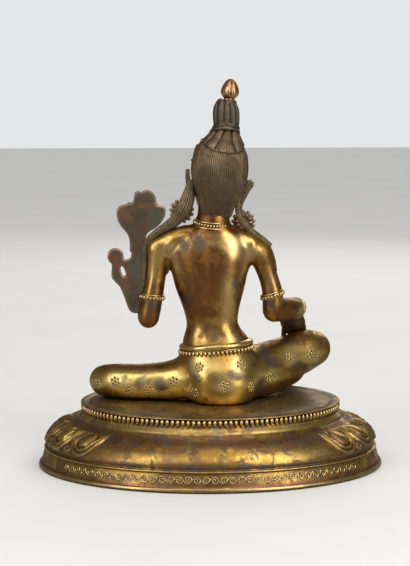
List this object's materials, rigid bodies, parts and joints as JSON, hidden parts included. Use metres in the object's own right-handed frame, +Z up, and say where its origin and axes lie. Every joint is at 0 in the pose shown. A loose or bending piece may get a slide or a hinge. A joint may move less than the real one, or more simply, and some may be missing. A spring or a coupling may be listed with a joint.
{
  "type": "gilt bronze goddess figure",
  "caption": "Seated goddess in gilt bronze with a tall topknot and a lotus spray at her left arm, fixed on an oval lotus base.",
  "frame": {"origin": "centre of the oval base on its underside", "axes": "+Z up through the topknot, the figure faces -Y, her left hand side is +X"},
  "size_m": [0.17, 0.1326, 0.19],
  "materials": {
    "gilt_figure": "worn gilding over bronze with brown and grey patina",
    "gilt_base": "worn gilding over bronze with brown and violet-grey patina"
  },
  "bodies": {
    "root": {"goddess_figure": "gilt_figure", "lotus_base": "gilt_base"}
  },
  "joints": []
}
